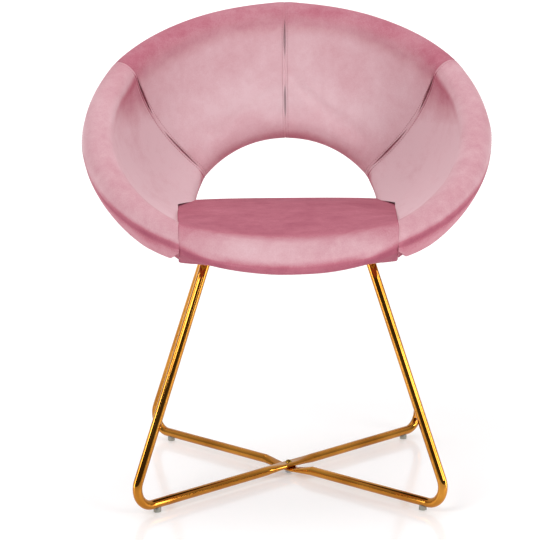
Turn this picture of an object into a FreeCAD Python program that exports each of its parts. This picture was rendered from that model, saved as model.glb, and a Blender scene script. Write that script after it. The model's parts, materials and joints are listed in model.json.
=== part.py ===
import FreeCAD, Part
import math
import os

# Scallop back chair: a padded saucer on two crossed leg frames of bent tube.
# Millimetres. +Z is up, the chair faces -Y, +X is to the right seen from the front.
# The origin is on the floor under the crossing of the leg frames.

V = FreeCAD.Vector

# Saucer: the rim is a circle, tilted so that it is high at the back and low at the front
rim_radius = 323.0
rim_tilt = 34.0
rim_height = 609.0
roll_radius = 27.0
panel_half = 25.0
edge_radius = 25.0
dish_ratio = 0.13

# Back window: the padded inner edge is an arc that leans back a little
back_width = 108.0
arch_lean = 11.0
arch_setback = 32.0
arch_top_drop = 15.5
arch_spread = 0.84
blend_start = 58.0
blend_end = 92.0

# Seat pad, measured over its cover: its plan is set in from the rim, its heights are from its base
wing_width_rear = 129.0
wing_width_front = 151.0
pad_rear_inset = 133.0
pad_front_inset = 97.0
pad_base_drop = 207.5
pad_rear_rise = 66.0
pad_crown_rise = 70.0
pad_rear_round = 31.0
pad_edge_drop = 8.0
pad_base_front = 78.0
pad_base_curl = 90.0
wing_inner_rise = 27.0
wing_front_rise = 41.0
wing_rear_inset = 40.0
wing_front_inset = 26.0
wing_bite = 4.0

# Stations round the rim, in degrees from the middle of the back
seam_angle = 61.0
station_step = 15.0
wing_last_angle = 158.0

# Cloth and running clearances
cover_thickness = 1.5
soft_gap = 0.3
slip = 0.1

# Steel inside the padding
hoop_rod = 10.0
arch_rod = 8.0
rib_rod = 6.0
weld_bead = 0.8
arch_rod_end = 56.0
arch_foot_side = 14.0
arch_foot_inset = 52.0
arch_rib_angles = (20.0, 52.0)
wing_rib_angles = (95.0, 113.0, 131.0)
foot_width = 34.0
foot_thickness = 4.0
foot_reach = 44.0
foot_web = 8.0

# Seat board and what is under it
board_thickness = 12.0
board_inset = 14.0
board_front_inset = 58.0
board_corner = 40.0
dust_thickness = 0.5
dust_margin = 9.0
staple_crown = 10.0
staple_leg = 6.0
staple_wire = 0.8
staple_inset = 6.0
staple_pitch = 55.0

# Leg frames: bent tube, each in a vertical plane along a diagonal
tube_diameter = 16.0
tube_wall = 1.5
floor_run_z = 14.5
corner_spread = 369.0
leg_top_reach = 21.0
bend_radius = 32.0
plate_length = 66.0
plate_width = 52.0
plate_thickness = 4.0
plate_corner = 8.0
plate_setback = 20.0
plate_bolt_along = 18.0
plate_bolt_across = 15.0

# Crossing: both tubes are pressed flat where they meet
press_half = 15.0
press_run = 42.0
press_width = 22.0
lower_thickness = 5.0
upper_thickness = 8.5

# M6 fasteners
bolt_diameter = 5.8
bolt_hole = 6.4
bolt_head = 11.0
bolt_head_height = 3.5
bolt_length = 20.0
cross_head = 12.0
cross_head_height = 4.0
nut_width = 10.0
nut_height = 4.0
washer_diameter = 12.0
washer_thickness = 1.2
tnut_flange = 18.0
tnut_flange_thickness = 1.2
tnut_barrel = 7.6
tnut_barrel_length = 9.0
screw_diameter = 4.0
screw_head = 8.0
screw_head_height = 3.0
screw_length = 10.0

# Floor glides
glide_diameter = 13.0
glide_from_bend = 10.2
glide_stem = 4.6
glide_stem_top = 11.0
glide_edge = 1.0

# Worked out from the sizes above
pad_half_rear = rim_radius - wing_width_rear
pad_half_front = rim_radius - wing_width_front
pad_rear_y = rim_radius - pad_rear_inset
pad_front_y = pad_front_inset - rim_radius
pad_bottom = rim_height - pad_base_drop
pad_rear_top = pad_bottom + pad_rear_rise
pad_crown_top = pad_bottom + pad_crown_rise
wing_inner_z = pad_bottom + wing_inner_rise
wing_front_z = pad_bottom + wing_front_rise
wing_rear_y = pad_rear_y - wing_rear_inset
wing_front_y = pad_front_y + wing_front_inset
arch_radius = rim_radius - back_width
arch_top_y = pad_rear_y + arch_setback
arch_top_z = rim_height - arch_top_drop
arch_foot_x = pad_half_front - arch_foot_side
arch_foot_y = pad_rear_y - arch_foot_inset
leg_top_spread = pad_half_front + leg_top_reach
tube_radius = tube_diameter / 2.0
plate_top = pad_bottom + 3.0
plate_bottom = plate_top - plate_thickness
board_bottom = plate_top + dust_thickness
board_top = board_bottom + board_thickness
lower_bottom = floor_run_z - tube_radius
split_z = lower_bottom + lower_thickness
upper_top = split_z + upper_thickness
leg_dx = corner_spread - leg_top_spread
leg_turn = math.pi - math.atan2(plate_bottom - floor_run_z, leg_dx)
bend_tangent = bend_radius * math.tan(leg_turn / 2.0)
glide_spread = corner_spread - bend_tangent - glide_from_bend


def pad_half(y):
    """Half width of the seat pad at a depth: it narrows towards the front."""
    share = (y - pad_front_y) / (pad_rear_y - pad_front_y)
    return pad_half_front + share * (pad_half_rear - pad_half_front)


def smooth(value, low, high):
    share = min(1.0, max(0.0, (value - low) / (high - low)))
    return share * share * (3.0 - 2.0 * share)


def rim_point(angle):
    """Middle of the rim roll, at an angle in degrees from the middle of the back."""
    turn = math.radians(angle)
    tilt = math.radians(rim_tilt)
    along = rim_radius * math.cos(turn)
    return V(rim_radius * math.sin(turn), along * math.cos(tilt), rim_height + along * math.sin(tilt))


def arch_point(angle):
    """Middle of the padded edge over the back window."""
    turn = math.radians(angle)
    lean = math.radians(arch_lean)
    drop = arch_radius * (1.0 - math.cos(turn))
    y = arch_top_y - drop * math.sin(lean)
    return V(arch_radius * math.sin(turn), y, arch_top_z - drop * math.cos(lean))


def wing_point(angle):
    """Middle of the wing's lower edge, just inside the side of the seat pad."""
    share = (abs(angle) - 60.0) / 90.0
    y = wing_rear_y + share * (wing_front_y - wing_rear_y)
    z = wing_inner_z + max(0.0, share) ** 2 * (wing_front_z - wing_inner_z)
    return V(math.copysign(pad_half(y) - wing_bite, angle), y, z)


def inner_point(angle):
    share = smooth(abs(angle), blend_start, blend_end)
    if share == 0.0:
        return arch_point(angle * arch_spread)
    return arch_point(angle * arch_spread) * (1.0 - share) + wing_point(angle) * share


def station(angle):
    """Rim and inner points, the outward direction and the middle of the dished panel."""
    rim = rim_point(angle)
    inner = inner_point(angle)
    ahead = rim_point(angle + 1.0) + inner_point(angle + 1.0)
    behind = rim_point(angle - 1.0) + inner_point(angle - 1.0)
    chord = rim - inner
    outward = chord.cross(ahead - behind)
    outward.normalize()
    sag = dish_ratio * chord.Length
    return rim, inner, outward, (rim + inner) * 0.5 + outward * sag


def arc(start, middle, end):
    return Part.Arc(start, middle, end).toShape()


def band_section(angle, inset):
    """Closed outline of the padded band at one station: a curved slot with round ends."""
    rim, inner, outward, middle = station(angle)
    chord = rim - inner
    sag = dish_ratio * chord.Length
    mid_radius = (chord.Length ** 2 / 4.0 + sag ** 2) / (2.0 * sag)
    centre = middle - outward * mid_radius
    rim_out = (rim - centre) * (1.0 / mid_radius)
    inner_out = (inner - centre) * (1.0 / mid_radius)
    side = chord.cross(outward)
    side.normalize()
    rim_along = rim_out.cross(side) * -1.0
    inner_along = inner_out.cross(side)
    if rim_along.dot(chord) < 0.0:
        rim_along = rim_along * -1.0
        inner_along = inner_along * -1.0
    r_rim = roll_radius - inset
    r_edge = edge_radius - inset
    half = panel_half - inset
    slant = math.sqrt(0.5)
    rim_front = rim - rim_out * r_rim
    rim_back = rim + rim_out * r_rim
    rim_tip = rim + rim_along * r_rim
    edge_front = inner - inner_out * r_edge
    edge_back = inner + inner_out * r_edge
    edge_tip = inner + inner_along * r_edge
    return Part.Wire([
        arc(edge_front, middle - outward * half, rim_front),
        arc(rim_front, rim + (rim_along - rim_out) * (slant * r_rim), rim_tip),
        arc(rim_tip, rim + (rim_along + rim_out) * (slant * r_rim), rim_back),
        arc(rim_back, middle + outward * half, edge_back),
        arc(edge_back, inner + (inner_along + inner_out) * (slant * r_edge), edge_tip),
        arc(edge_tip, inner + (inner_along - inner_out) * (slant * r_edge), edge_front),
    ])


def band_sections(first, last, inset):
    """Outlines of the padded band from one station angle to another."""
    count = int(math.ceil(abs(last - first) / station_step)) + 1
    return [band_section(first + (last - first) * i / (count - 1.0), inset) for i in range(count)]


def band(first, last, inset):
    return Part.makeLoft(band_sections(first, last, inset), True, False)


def pad_section(share, inset):
    """Outline of the seat pad in the upright plane at a share of its half width."""
    half = pad_half_front * abs(share)
    front = math.sqrt(rim_radius ** 2 - half ** 2)
    tilt = math.radians(rim_tilt)
    nose_y = -front * math.cos(tilt)
    nose_z = rim_height - front * math.sin(tilt)
    nose_r = roll_radius - inset
    drop = pad_edge_drop * share ** 4
    rear_r = pad_rear_round - inset
    rear_y = pad_rear_y - pad_rear_round
    rear_top = pad_rear_top - inset - drop
    rear_bottom = pad_bottom + inset
    rear_mid = (rear_top + rear_bottom) / 2.0
    crown = pad_crown_top - inset - drop
    base_front = nose_y + pad_base_front + pad_base_curl * share ** 2

    def place(y, z):
        side = (pad_half(y) - inset) * share
        return V(side, y, z)

    slant = math.sqrt(0.5)
    nose_top = place(nose_y, nose_z + nose_r)
    nose_front = place(nose_y - nose_r, nose_z)
    nose_bottom = place(nose_y, nose_z - nose_r)
    back_top = place(rear_y, rear_top)
    back_tip = place(rear_y + rear_r, rear_mid)
    back_bottom = place(rear_y, rear_bottom)
    base_edge = place(base_front, rear_bottom)
    rise = (rear_top - rear_bottom) / 2.0
    return Part.Wire([
        Part.LineSegment(back_bottom, base_edge).toShape(),
        Part.LineSegment(base_edge, nose_bottom).toShape(),
        arc(nose_bottom, place(nose_y - nose_r * slant, nose_z - nose_r * slant), nose_front),
        arc(nose_front, place(nose_y - nose_r * slant, nose_z + nose_r * slant), nose_top),
        arc(nose_top, place((nose_y + rear_y) / 2.0, crown), back_top),
        arc(back_top, place(rear_y + rear_r * slant, rear_mid + rise * slant), back_tip),
        arc(back_tip, place(rear_y + rear_r * slant, rear_mid - rise * slant), back_bottom),
    ])


def pad(inset):
    """Crowned seat pad with a rolled front, drawn in along its sides."""
    shares = (-1.0, -0.5, 0.0, 0.5, 1.0)
    return Part.makeLoft([pad_section(share, inset) for share in shares], True, False)


def seat_room():
    """Space that the seat pad takes out of the wings: its plan, under a raked top."""
    far = pad_front_y - 4.0 * roll_radius
    rear = pad_rear_y + soft_gap
    low = pad_bottom - 4.0 * roll_radius
    high = pad_rear_top + 4.0 * roll_radius
    corners = [
        V(pad_half(far) + soft_gap, far, low),
        V(pad_half(rear) + soft_gap, rear, low),
        V(-pad_half(rear) - soft_gap, rear, low),
        V(-pad_half(far) - soft_gap, far, low),
    ]
    prism = Part.Face(Part.makePolygon(corners + corners[:1])).extrude(V(0, 0, high - low))
    wide = pad_half_rear * 2.0
    rake = [V(-wide, far, low), V(-wide, rear + 1.0, low), V(-wide, rear + 1.0, pad_rear_top - pad_edge_drop),
            V(-wide, 0, pad_crown_top), V(-wide, far, high), V(-wide, far, low)]
    return prism.common(Part.Face(Part.makePolygon(rake)).extrude(V(2.0 * wide, 0, 0)))


def tube_along(edges, diameter):
    """Solid rod along joined edges."""
    path = Part.Wire(edges)
    start = edges[0].valueAt(edges[0].FirstParameter)
    aim = edges[0].tangentAt(edges[0].FirstParameter)
    ring = Part.Wire([Part.makeCircle(diameter / 2.0, start, aim)])
    return path.makePipeShell([ring], True, True)


def hoop(diameter):
    tilt = math.radians(rim_tilt)
    axis = V(0, -math.sin(tilt), math.cos(tilt))
    return Part.makeTorus(rim_radius, diameter / 2.0, V(0, 0, rim_height), axis)


def mirrored(shape):
    return shape.mirror(V(0, 0, 0), V(1, 0, 0))


def fused(shapes):
    whole = shapes[0].fuse(shapes[1:])
    return whole.removeSplitter()


def solids_only(shape):
    solids = shape.Solids
    return solids[0] if len(solids) == 1 else Part.makeCompound(solids)


def box_at(x0, x1, y0, y1, z0, z1):
    return Part.makeBox(x1 - x0, y1 - y0, z1 - z0, V(x0, y0, z0))


def rib_foot(angle, grow):
    """Foot of a wing rib on the right: a plate on the board and a web up to the rib."""
    end = wing_point(angle)
    low = board_top - grow
    side = foot_width / 2.0 + grow
    edge = end.x + foot_web / 2.0 + grow
    plate = box_at(end.x - foot_reach - grow, edge, end.y - side, end.y + side, low,
                   board_top + foot_thickness + grow)
    web = box_at(edge - foot_web - 2.0 * grow, edge, end.y - side / 2.0, end.y + side / 2.0, low, end.z)
    return plate.fuse(web)


def frame_screw_places():
    """Screws through the feet of the wing ribs and of the arch, on the right."""
    places = []
    for angle in wing_rib_angles:
        end = wing_point(angle)
        for side in (-1, 1):
            places.append((end.x - foot_reach * 0.75, end.y + side * foot_width / 4.0))
    places.append((arch_foot_x - foot_width * 0.7, arch_foot_y))
    return places


def back_frame(grow):
    """Welded steel inside the padding: hoop, arch, ribs and feet."""
    arch = [arch_point(angle) for angle in (-arch_rod_end, 0.0, arch_rod_end)]
    arch_foot = V(arch_foot_x, arch_foot_y, board_top + foot_thickness / 2.0)
    side = foot_width / 2.0 + grow
    right = [
        tube_along([Part.LineSegment(arch[2], arch_foot).toShape()], arch_rod + 2.0 * grow),
        Part.makeSphere(arch_rod / 2.0 + weld_bead + grow, arch[2]),
        box_at(arch_foot_x - foot_width - grow, arch_foot_x + arch_rod + grow, arch_foot_y - side,
               arch_foot_y + side, board_top - grow, board_top + foot_thickness + grow),
    ]
    for angle in arch_rib_angles:
        rim, _, _, middle = station(angle)
        right.append(tube_along([arc(rim, middle, arch_point(angle * arch_spread))], rib_rod + 2.0 * grow))
    for angle in wing_rib_angles:
        rim, inner, _, middle = station(angle)
        right.append(tube_along([arc(rim, middle, inner)], rib_rod + 2.0 * grow))
        right.append(rib_foot(angle, grow))
    whole = hoop(hoop_rod + 2.0 * grow)
    whole = whole.fuse(tube_along([arc(arch[0], arch[1], arch[2])], arch_rod + 2.0 * grow))
    return fused([whole] + right + [mirrored(shape) for shape in right])


def corner_angles():
    """Directions of the four legs seen from above, in degrees."""
    return {"front_left": -135.0, "front_right": -45.0, "rear_left": 135.0, "rear_right": 45.0}


def turned(shape, x, y, angle):
    """Copy of a shape turned about the upright axis, with x and y measured before the turn."""
    shape = shape.copy()
    shape.translate(V(x, y, 0))
    shape.rotate(V(0, 0, 0), V(0, 0, 1), angle)
    return shape


def plate_bolts_at():
    """Places of the eight bolts that hold the plates to the board."""
    places = []
    along = leg_top_spread - plate_setback - plate_bolt_along
    for angle in corner_angles().values():
        turn = math.radians(angle)
        for side in (-1, 1):
            across = side * plate_bolt_across
            places.append((along * math.cos(turn) - across * math.sin(turn),
                           along * math.sin(turn) + across * math.cos(turn)))
    return places


def cylinder(diameter, x, y, low, high):
    return Part.makeCylinder(diameter / 2.0, high - low, V(x, y, low))


def board_prism(grow, low, high):
    """Upright prism over the plan of the seat board, with a bowed front edge."""
    inset = board_inset - grow
    rear = pad_rear_y - inset
    front = pad_front_y + board_front_inset - grow
    bow = rim_radius * (1.0 - math.cos(math.asin(pad_half_front / rim_radius))) * math.cos(math.radians(rim_tilt))
    rear_half = pad_half(rear) - inset
    front_half = pad_half(front) - inset
    outline = Part.Wire([
        Part.LineSegment(V(rear_half, rear, low), V(-rear_half, rear, low)).toShape(),
        Part.LineSegment(V(-rear_half, rear, low), V(-front_half, front, low)).toShape(),
        arc(V(-front_half, front, low), V(0, front - bow, low), V(front_half, front, low)),
        Part.LineSegment(V(front_half, front, low), V(rear_half, rear, low)).toShape(),
    ])
    prism = Part.Face(outline).extrude(V(0, 0, high - low))
    upright = [edge for edge in prism.Edges if abs(edge.BoundBox.ZLength - (high - low)) < 0.01]
    return prism.makeFillet(board_corner, upright)


def staple_places():
    """Staples along the four sides of the dust cover, clear of the plates: x, y and direction."""
    places = []
    edge = board_inset + dust_margin + staple_inset
    rear = pad_rear_y - edge
    front = pad_front_y + edge
    for step in (-staple_pitch, 0.0, staple_pitch):
        side = pad_half(step) - edge
        places += [(side, step, 90.0), (-side, step, 90.0), (step, rear, 0.0), (step, front, 0.0)]
    return places


def staple(x, y, angle, grow):
    half = staple_crown / 2.0 + grow
    wire = staple_wire / 2.0 + grow
    low = plate_top - staple_wire
    top = plate_top + staple_leg + grow
    crown = box_at(-half, half, -wire, wire, low, plate_top)
    left = box_at(-half, -half + 2.0 * wire, -wire, wire, low, top)
    right = box_at(half - 2.0 * wire, half, -wire, wire, low, top)
    shape = crown.fuse([left, right]).removeSplitter()
    shape.rotate(V(0, 0, 0), V(0, 0, 1), angle)
    shape.translate(V(x, y, 0))
    return shape


def along_diagonal(spread, z):
    return V(spread, 0, z)


def leg_path():
    """Leg and floor run of one half frame, in the plane y = 0, towards +X."""
    corner = along_diagonal(corner_spread, floor_run_z)
    leg = V(-leg_dx, 0, plate_bottom - floor_run_z)
    leg.normalize()
    run = V(-1, 0, 0)
    half_turn = math.acos(leg.dot(run)) / 2.0
    bisector = leg + run
    bisector.normalize()
    centre = corner + bisector * (bend_radius / math.sin(half_turn))
    start = corner + leg * bend_tangent
    end = corner + run * bend_tangent
    middle = centre - bisector * bend_radius
    top = corner + leg * ((plate_top - floor_run_z) / leg.z)
    inboard = along_diagonal(press_half + press_run, floor_run_z)
    return [
        Part.LineSegment(top, start).toShape(),
        arc(start, middle, end),
        Part.LineSegment(end, inboard).toShape(),
    ]


def pressed_section(x, width, thickness, z):
    """Outline across the tube: a flat slot, or a circle where width equals thickness."""
    half = thickness / 2.0
    flat = (width - thickness) / 2.0
    crown = math.radians(0.0 if flat > 0.0 else 35.0)
    between = (crown + math.pi / 2.0) / 2.0

    def at(side, turn, up):
        return V(x, side * (flat + half * math.sin(turn)), z + up * half * math.cos(turn))

    def across(start, middle, end):
        return Part.LineSegment(start, end).toShape() if flat > 0.0 else arc(start, middle, end)

    return Part.Wire([
        across(at(-1, crown, 1), V(x, 0, z + half), at(1, crown, 1)),
        arc(at(1, crown, 1), at(1, between, 1), at(1, math.pi / 2.0, 1)),
        arc(at(1, math.pi / 2.0, 1), at(1, between, -1), at(1, crown, -1)),
        across(at(1, crown, -1), V(x, 0, z - half), at(-1, crown, -1)),
        arc(at(-1, crown, -1), at(-1, between, -1), at(-1, math.pi / 2.0, -1)),
        arc(at(-1, math.pi / 2.0, -1), at(-1, between, 1), at(-1, crown, 1)),
    ])


def leg_frame(low, thickness, angle):
    """One leg frame: two legs and a floor run from a single tube, pressed flat at the crossing."""
    path = leg_path()
    outer = tube_along(path, tube_diameter)
    inner = tube_along(path, tube_diameter - 2.0 * tube_wall)
    half = outer.cut(inner)
    above = box_at(-corner_spread, corner_spread, -tube_diameter, tube_diameter, plate_bottom, plate_top + tube_diameter)
    half = half.cut(above)
    glide_hole = cylinder(glide_stem + 4.0 * slip, glide_spread, 0, lower_bottom - tube_wall, floor_run_z)
    half = half.cut(glide_hole)
    middle = low + thickness / 2.0
    round_end = pressed_section(press_half + press_run, tube_diameter, tube_diameter, floor_run_z)
    flat_end = pressed_section(press_half, press_width, thickness, middle)
    easing = Part.makeLoft([round_end, flat_end], True, False)
    flat = Part.Face(flat_end).extrude(V(-press_half, 0, 0))
    half = fused([half, easing, flat])
    other = half.mirror(V(0, 0, 0), V(1, 0, 0))
    whole = fused([half, other])
    whole = whole.cut(cylinder(bolt_hole, 0, 0, low - 1.0, low + thickness + 1.0))
    return turned(solids_only(whole), 0, 0, angle)


def mount_plate(angle):
    """Plate welded to the top of a leg, with its two bolt holes on the inboard side."""
    plate = box_at(-plate_length / 2.0, plate_length / 2.0, -plate_width / 2.0, plate_width / 2.0,
                   plate_bottom, plate_top)
    upright = [edge for edge in plate.Edges if abs(edge.BoundBox.ZLength - plate_thickness) < 0.01]
    plate = plate.makeFillet(plate_corner, upright)
    for side in (-1, 1):
        plate = plate.cut(cylinder(bolt_hole, -plate_bolt_along, side * plate_bolt_across,
                                   plate_bottom - 1.0, plate_top + 1.0))
    return turned(plate, leg_top_spread - plate_setback, 0, angle)


def domed_head(diameter, height, x, y, z, up):
    """Round bolt head, as a cap cut from a ball, on the side that up gives."""
    ball_radius = (diameter ** 2 / 4.0 + height ** 2) / (2.0 * height)
    ball = Part.makeSphere(ball_radius, V(x, y, z + up * (height - ball_radius)))
    low, high = (z, z + height) if up > 0 else (z - height, z)
    return ball.common(cylinder(diameter, x, y, low, high))


def plate_bolt(x, y):
    seat = plate_bottom - washer_thickness
    shank = cylinder(bolt_diameter, x, y, seat, seat + bolt_length)
    head = domed_head(bolt_head, bolt_head_height, x, y, seat, -1)
    return head.fuse(shank).removeSplitter()


def washer(x, y, low):
    ring = cylinder(washer_diameter, x, y, low, low + washer_thickness)
    return ring.cut(cylinder(bolt_hole, x, y, low - 1.0, low + washer_thickness + 1.0))


def tee_nut(x, y):
    flange = cylinder(tnut_flange, x, y, board_top, board_top + tnut_flange_thickness)
    barrel = cylinder(tnut_barrel, x, y, board_top - tnut_barrel_length, board_top)
    bore = cylinder(bolt_diameter + 2.0 * slip, x, y, board_bottom, board_top + tnut_flange)
    return flange.fuse(barrel).cut(bore)


def frame_screw(x, y):
    seat = board_top + foot_thickness
    head = domed_head(screw_head, screw_head_height, x, y, seat, 1)
    shank = cylinder(screw_diameter, x, y, board_top - screw_length, seat)
    return head.fuse(shank).removeSplitter()


def cross_bolt():
    low = lower_bottom - washer_thickness - nut_height
    shank = cylinder(bolt_diameter, 0, 0, low, upper_top)
    head = domed_head(cross_head, cross_head_height, 0, 0, upper_top, 1)
    return head.fuse(shank).removeSplitter()


def cross_nut():
    top = lower_bottom - washer_thickness
    reach = nut_width / math.sqrt(3.0)
    points = [V(reach * math.cos(math.radians(60.0 * i)), reach * math.sin(math.radians(60.0 * i)),
                top - nut_height) for i in range(7)]
    prism = Part.Face(Part.makePolygon(points)).extrude(V(0, 0, nut_height))
    return prism.cut(cylinder(bolt_diameter + 2.0 * slip, 0, 0, top - nut_height - 1.0, top + 1.0))


def glide(angle):
    """Floor glide: a disc that cups the tube, with a stem in the tube's lower wall."""
    body = cylinder(glide_diameter, 0, 0, 0, floor_run_z)
    bottom = [edge for edge in body.Edges if edge.BoundBox.ZMax < 0.01]
    body = body.makeFillet(glide_edge, bottom)
    above = tube_radius * 2.0
    seat = Part.makeCylinder(tube_radius + soft_gap, above * 2.0, V(-above, 0, floor_run_z), V(1, 0, 0))
    top = box_at(-above, above, -above, above, floor_run_z - tube_radius * 0.5, floor_run_z + above)
    body = body.cut(seat).cut(top)
    stem = cylinder(glide_stem, 0, 0, lower_bottom - glide_edge - soft_gap, glide_stem_top)
    body = body.fuse(stem).removeSplitter()
    return turned(body, glide_spread, 0, angle)


def build():
    nodes = {}
    screws = frame_screw_places()
    screws += [(-x, y) for x, y in screws]
    steel = back_frame(0.0)
    steel_room = back_frame(soft_gap)
    for x, y in screws:
        steel = steel.cut(cylinder(screw_diameter + 4.0 * slip, x, y, board_top - 1.0,
                                   board_top + foot_thickness + 1.0))
    nodes["back_frame"] = solids_only(steel)

    # Padding and covers of the wings and the back: the left is the mirror of the right
    core = cover_thickness + soft_gap
    room = seat_room()
    for name, first, last in (("back", 0.0, seam_angle), ("wing", seam_angle, wing_last_angle)):
        cover = band(first, last, 0.0).cut(room).cut(band(first, last, cover_thickness)).cut(steel_room)
        foam = band(first, last, core).cut(room).cut(steel_room)
        nodes["cover_" + name + "_right"] = solids_only(cover)
        nodes["cover_" + name + "_left"] = mirrored(solids_only(cover))
        nodes["foam_" + name + "_right"] = solids_only(foam)
        nodes["foam_" + name + "_left"] = mirrored(solids_only(foam))

    # Seat pad over the board
    bolts = plate_bolts_at()
    under = pad_bottom - 2.0 * roll_radius
    seat_cover = pad(0.0).cut(pad(cover_thickness)).cut(board_prism(soft_gap, under, board_top)).cut(steel_room)
    seat_foam = pad(core).cut(board_prism(soft_gap, under, board_top + soft_gap)).cut(steel_room)
    for x, y in bolts:
        high = plate_bottom - washer_thickness + bolt_length + 1.0
        seat_foam = seat_foam.cut(cylinder(tnut_flange + 2.0, x, y, board_top - 1.0, high))
    for x, y in screws:
        high = board_top + foot_thickness + screw_head_height + 1.0
        seat_foam = seat_foam.cut(cylinder(screw_head + 2.0, x, y, board_top - 1.0, high))
    nodes["seat_cover"] = solids_only(seat_cover)
    nodes["seat_foam"] = solids_only(seat_foam)

    # Seat board, dust cover and staples
    board = board_prism(0.0, board_bottom, board_top)
    dust = board_prism(-dust_margin, plate_top, board_bottom)
    for x, y in bolts:
        board = board.cut(cylinder(tnut_barrel + 4.0 * slip, x, y, board_bottom - 1.0, board_top + 1.0))
        dust = dust.cut(cylinder(bolt_hole, x, y, plate_top - 1.0, board_bottom + 1.0))
    for x, y in screws:
        pilot = board_top - screw_length - slip
        board = board.cut(cylinder(screw_diameter + 2.0 * slip, x, y, pilot, board_top + 1.0))
    holes = Part.makeCompound([staple(x, y, angle, slip) for x, y, angle in staple_places()])
    nodes["seat_board"] = solids_only(board.cut(holes))
    nodes["dust_cover"] = solids_only(dust.cut(holes))
    nodes["staples"] = Part.makeCompound([staple(x, y, angle, 0.0) for x, y, angle in staple_places()])

    # Leg frames and what fastens them
    nodes["leg_frame_over"] = leg_frame(split_z, upper_thickness, 45.0)
    nodes["leg_frame_under"] = leg_frame(lower_bottom, lower_thickness, -45.0)
    for corner, angle in corner_angles().items():
        nodes["mount_plate_" + corner] = mount_plate(angle)
        nodes["glide_" + corner] = glide(angle)
    nodes["plate_bolts"] = Part.makeCompound([plate_bolt(x, y) for x, y in bolts])
    low = plate_bottom - washer_thickness
    nodes["plate_washers"] = Part.makeCompound([washer(x, y, low) for x, y in bolts])
    nodes["tee_nuts"] = Part.makeCompound([tee_nut(x, y) for x, y in bolts])
    nodes["frame_screws"] = Part.makeCompound([frame_screw(x, y) for x, y in screws])
    nodes["cross_bolt"] = cross_bolt()
    nodes["cross_washer"] = washer(0, 0, lower_bottom - washer_thickness)
    nodes["cross_nut"] = cross_nut()
    return nodes


def main():
    os.makedirs("parts", exist_ok=True)
    for name, shape in build().items():
        shape.exportStep("parts/" + name + ".step")
        box = shape.BoundBox
        print(name, len(shape.Solids), shape.isValid(), round(shape.Volume),
              [round(v, 1) for v in (box.XMin, box.XMax, box.YMin, box.YMax, box.ZMin, box.ZMax)])


main()
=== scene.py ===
import bpy
import bmesh
import json
import math
import numpy as np
from mathutils import Matrix, Vector
from mathutils.bvhtree import BVHTree
from mathutils.kdtree import KDTree


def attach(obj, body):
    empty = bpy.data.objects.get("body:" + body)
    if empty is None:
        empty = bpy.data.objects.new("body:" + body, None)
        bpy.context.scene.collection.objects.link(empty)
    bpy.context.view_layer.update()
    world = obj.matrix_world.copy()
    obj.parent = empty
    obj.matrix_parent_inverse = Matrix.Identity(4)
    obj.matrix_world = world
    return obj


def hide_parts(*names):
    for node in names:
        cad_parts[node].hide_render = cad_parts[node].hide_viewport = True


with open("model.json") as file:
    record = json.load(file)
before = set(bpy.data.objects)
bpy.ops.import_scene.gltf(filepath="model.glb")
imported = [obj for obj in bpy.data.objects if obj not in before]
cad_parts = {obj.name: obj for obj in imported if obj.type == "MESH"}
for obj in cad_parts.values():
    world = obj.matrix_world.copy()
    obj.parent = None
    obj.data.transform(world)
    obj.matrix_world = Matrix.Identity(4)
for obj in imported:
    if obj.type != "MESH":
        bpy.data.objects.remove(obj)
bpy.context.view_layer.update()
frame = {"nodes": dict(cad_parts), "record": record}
scene = bpy.context.scene

# Sizes in metres and angles in degrees, as in the solids. The pad's edge drop and its base differ, because they
# follow the sewn cover
RIM_RADIUS, RIM_TILT, RIM_HEIGHT = 0.323, math.radians(34.0), 0.609
ROLL, PANEL_HALF, EDGE = 0.027, 0.025, 0.025
DISH_RATIO = 0.13
ARCH_RADIUS, ARCH_LEAN, ARCH_TOP_Y, ARCH_TOP_Z = 0.215, math.radians(11.0), 0.222, 0.5935
ARCH_SPREAD, BLEND_START, BLEND_END = 0.84, 58.0, 92.0
PAD_REAR, PAD_FRONT = 0.194, 0.172
PAD_REAR_Y, PAD_FRONT_Y = 0.190, -0.226
PAD_BOTTOM, PAD_REAR_TOP, PAD_CROWN = 0.4015, 0.4675, 0.4715
PAD_REAR_ROUND, PAD_EDGE_DROP = 0.031, 0.003
PAD_BASE_FRONT, PAD_BASE_CURL = 0.072, 0.010
WING_INNER_Z, WING_FRONT_Z = 0.4285, 0.4425
WING_REAR_Y, WING_FRONT_Y, WING_BITE = 0.150, -0.200, 0.004
WING_TURN_START, WING_TURN_SPAN = 60.0, 90.0
SEAM_ANGLE, WING_LAST = 61.0, 158.0
BOARD_TOP, BOARD_INSET, BOARD_FRONT_INSET, BOARD_CORNER = 0.417, 0.014, 0.058, 0.040
GAP = 0.0003

# How the padding is sewn and filled
PAD_PLUMP, PAD_BITE = 0.0045, 0.0010
SHELL_BELLY, BELLY_START, BELLY_END = 0.003, 118.0, 142.0
SEAM_DEPTH, SEAM_WIDTH, SEAM_EASE = 0.0010, 0.0012, 0.040
STITCH_OFFSET, STITCH_PITCH, STITCH_LENGTH, STITCH_RADIUS = 0.0045, 0.0042, 0.0030, 0.00042
STITCH_DIP, STITCH_DIP_WIDTH, STITCH_REACH, STITCH_JUMP = 0.0004, 0.0013, 0.030, 0.040
STITCH_SHORTEST, STITCH_LONGEST, STITCH_SEED = 0.90, 1.05, 7
SHELL_SEAM, SHELL_FADE, SHELL_ROW_END, SHELL_ROW_STEP = 0.034, 0.004, 150.0, 2.0
OUTER_END, OUTER_FADE = 0.25, 0.27
SHALLOW_SEAM, MARK_REACH = 0.6, 0.03
SEAT_ROW, SEAT_ROW_HALF, SEAT_ROW_POINTS = 27, 0.96, 60
SIDE_ROUND, SIDE_TURNS, SIDE_HOLD = 0.0035, (22.0, 45.0, 67.0, 90.0), 0.01
NOSE_STEP, BASE_HELD, PAD_COLUMNS = 0.0065, 30, 34
START_INSET, SWELL_CAP, STILL = 0.0010, 0.0025, 1e-9
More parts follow.
